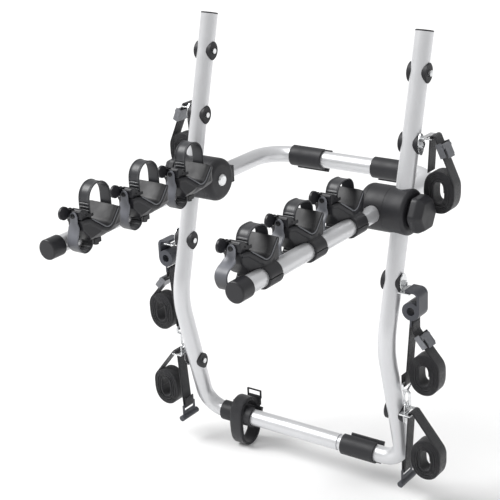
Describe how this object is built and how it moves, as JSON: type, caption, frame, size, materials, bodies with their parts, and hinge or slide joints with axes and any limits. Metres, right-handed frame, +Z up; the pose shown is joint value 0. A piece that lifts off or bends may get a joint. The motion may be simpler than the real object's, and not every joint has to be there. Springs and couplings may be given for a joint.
{
  "type": "trunk mounted bike rack",
  "caption": "Strap-on rear bike rack: bent tube frame with padded feet, a folding upper frame, and folding arms that carry strapped bike cradles.",
  "frame": {"origin": "middle of the four feet, on the plane where they touch the car", "axes": "+X to the right seen from behind the car, +Y towards the car, +Z up"},
  "size_m": [0.6054, 0.6255, 0.7982],
  "materials": {
    "silver_paint": "semi-gloss silver powder coat",
    "hub_plastic": "fine moulded grain, satin",
    "cap_plastic": "fine moulded grain",
    "cradle_plastic": "moulded, satin",
    "cradle_rubber": "soft matt rubber",
    "strap_rubber": "toothed, matt",
    "buckle_plastic": "smooth moulded",
    "lever_plastic": "moulded, satin",
    "foot_rubber": "matt",
    "webbing": "woven polypropylene",
    "bright_zinc": "zinc plated",
    "snap_zinc": "bright zinc plated",
    "hook_coating": "dipped coating",
    "cam_metal": "grey cast metal, satin"
  },
  "bodies": {
    "frame": {"side_tube_left": "silver_paint", "top_strap_left": "webbing", "mid_strap_left": "webbing", "low_strap_left": "webbing", "side_tube_right": "silver_paint", "top_strap_right": "webbing", "mid_strap_right": "webbing", "low_strap_right": "webbing", "hub_clamps": "hub_plastic", "hub_bolts": "bright_zinc", "tube_plugs": "hub_plastic", "saddle_washers": "hub_plastic", "frame_bolts": "bright_zinc", "frame_nuts": "bright_zinc", "strap_brackets": "bright_zinc", "lower_pads": "foot_rubber", "trunk_hooks": "hook_coating", "snap_hooks": "snap_zinc", "foot_hooks": "hook_coating", "cam_buckles": "cam_metal", "safety_strap": "webbing", "safety_buckle": "buckle_plastic"},
    "arm_left": {"arm_socket_left": "hub_plastic", "arm_tube_left": "silver_paint", "arm_cap_left": "cap_plastic", "cradle_saddles_left": "cradle_plastic", "cradle_clamps_left": "cradle_plastic", "cradle_pads_left": "cradle_rubber", "ladder_straps_left": "strap_rubber", "strap_buckles_left": "buckle_plastic", "cradle_screws_left": "bright_zinc", "lever_pins_left": "bright_zinc"},
    "arm_right": {"arm_socket_right": "hub_plastic", "arm_tube_right": "silver_paint", "arm_cap_right": "cap_plastic", "cradle_saddles_right": "cradle_plastic", "cradle_clamps_right": "cradle_plastic", "cradle_pads_right": "cradle_rubber", "ladder_straps_right": "strap_rubber", "strap_buckles_right": "buckle_plastic", "cradle_screws_right": "bright_zinc", "lever_pins_right": "bright_zinc"},
    "upper_frame": {"upper_tube": "silver_paint", "upper_pads": "foot_rubber", "upper_socket_left": "hub_plastic", "upper_socket_right": "hub_plastic"},
    "knob_left": {"hub_knob_left": "hub_plastic"},
    "release_left_1": {"release_lever_left_1": "lever_plastic"},
    "release_left_2": {"release_lever_left_2": "lever_plastic"},
    "release_left_3": {"release_lever_left_3": "lever_plastic"},
    "cam_top_left": {"cam_lever_top_left": "cam_metal"},
    "cam_mid_left": {"cam_lever_mid_left": "cam_metal"},
    "gate_left": {"snap_gate_left": "snap_zinc"},
    "knob_right": {"hub_knob_right": "hub_plastic"},
    "release_right_1": {"release_lever_right_1": "lever_plastic"},
    "release_right_2": {"release_lever_right_2": "lever_plastic"},
    "release_right_3": {"release_lever_right_3": "lever_plastic"},
    "cam_top_right": {"cam_lever_top_right": "cam_metal"},
    "cam_mid_right": {"cam_lever_mid_right": "cam_metal"},
    "gate_right": {"snap_gate_right": "snap_zinc"}
  },
  "joints": [
    {"name": "upper_frame_fold", "type": "hinge", "parent": "frame", "child": "upper_frame", "pos_m": [0, -0.11588, 0.23683], "axis": [1, 0, 0], "range_deg": [-70, 12]},
    {"name": "arm_fold_left", "type": "hinge", "parent": "frame", "child": "arm_left", "pos_m": [-0.1775, -0.11588, 0.23683], "axis": [-1, 0, 0], "range_deg": [-45, 80]},
    {"name": "knob_turn_left", "type": "hinge", "parent": "frame", "child": "knob_left", "pos_m": [-0.2463, -0.11588, 0.23683], "axis": [-1, 0, 0], "continuous": true},
    {"name": "release_left_1", "type": "hinge", "parent": "arm_left", "child": "release_left_1", "pos_m": [-0.1493, -0.23888, 0.28783], "axis": [-1, 0, 0], "range_deg": [-12, 30], "stiffness_Nm_per_rad": 0.05},
    {"name": "release_left_2", "type": "hinge", "parent": "arm_left", "child": "release_left_2", "pos_m": [-0.1493, -0.35788, 0.28783], "axis": [-1, 0, 0], "range_deg": [-12, 30], "stiffness_Nm_per_rad": 0.05},
    {"name": "release_left_3", "type": "hinge", "parent": "arm_left", "child": "release_left_3", "pos_m": [-0.1493, -0.47688, 0.28783], "axis": [-1, 0, 0], "range_deg": [-12, 30], "stiffness_Nm_per_rad": 0.05},
    {"name": "arm_fold_right", "type": "hinge", "parent": "frame", "child": "arm_right", "pos_m": [0.1775, -0.11588, 0.23683], "axis": [-1, 0, 0], "range_deg": [-45, 80]},
    {"name": "knob_turn_right", "type": "hinge", "parent": "frame", "child": "knob_right", "pos_m": [0.2463, -0.11588, 0.23683], "axis": [1, 0, 0], "continuous": true},
    {"name": "release_right_1", "type": "hinge", "parent": "arm_right", "child": "release_right_1", "pos_m": [0.1493, -0.23888, 0.28783], "axis": [-1, 0, 0], "range_deg": [-12, 30], "stiffness_Nm_per_rad": 0.05},
    {"name": "release_right_2", "type": "hinge", "parent": "arm_right", "child": "release_right_2", "pos_m": [0.1493, -0.35788, 0.28783], "axis": [-1, 0, 0], "range_deg": [-12, 30], "stiffness_Nm_per_rad": 0.05},
    {"name": "release_right_3", "type": "hinge", "parent": "arm_right", "child": "release_right_3", "pos_m": [0.1493, -0.47688, 0.28783], "axis": [-1, 0, 0], "range_deg": [-12, 30], "stiffness_Nm_per_rad": 0.05},
    {"name": "cam_top_left", "type": "hinge", "parent": "frame", "child": "cam_top_left", "pos_m": [-0.26485, -0.07074, 0.33967], "axis": [0, 1, 0], "range_deg": [0, 60], "stiffness_Nm_per_rad": 0.05, "springref_deg": -17.19},
    {"name": "cam_top_right", "type": "hinge", "parent": "frame", "child": "cam_top_right", "pos_m": [0.26485, -0.07074, 0.33967], "axis": [0, -1, 0], "range_deg": [0, 60], "stiffness_Nm_per_rad": 0.05, "springref_deg": -17.19},
    {"name": "cam_mid_left", "type": "hinge", "parent": "frame", "child": "cam_mid_left", "pos_m": [-0.26762, -0.14642, 0.0409], "axis": [0, 1, 0], "range_deg": [0, 60], "stiffness_Nm_per_rad": 0.05, "springref_deg": -17.19},
    {"name": "cam_mid_right", "type": "hinge", "parent": "frame", "child": "cam_mid_right", "pos_m": [0.26762, -0.14642, 0.0409], "axis": [0, -1, 0], "range_deg": [0, 60], "stiffness_Nm_per_rad": 0.05, "springref_deg": -17.19},
    {"name": "gate_left", "type": "hinge", "parent": "frame", "child": "gate_left", "pos_m": [-0.2305, -0.14642, -0.07337], "axis": [0, 1, 0], "range_deg": [0, 25], "stiffness_Nm_per_rad": 0.001, "springref_deg": -17.19},
    {"name": "gate_right", "type": "hinge", "parent": "frame", "child": "gate_right", "pos_m": [0.2305, -0.14642, -0.07337], "axis": [0, -1, 0], "range_deg": [0, 25], "stiffness_Nm_per_rad": 0.001, "springref_deg": -17.19}
  ]
}
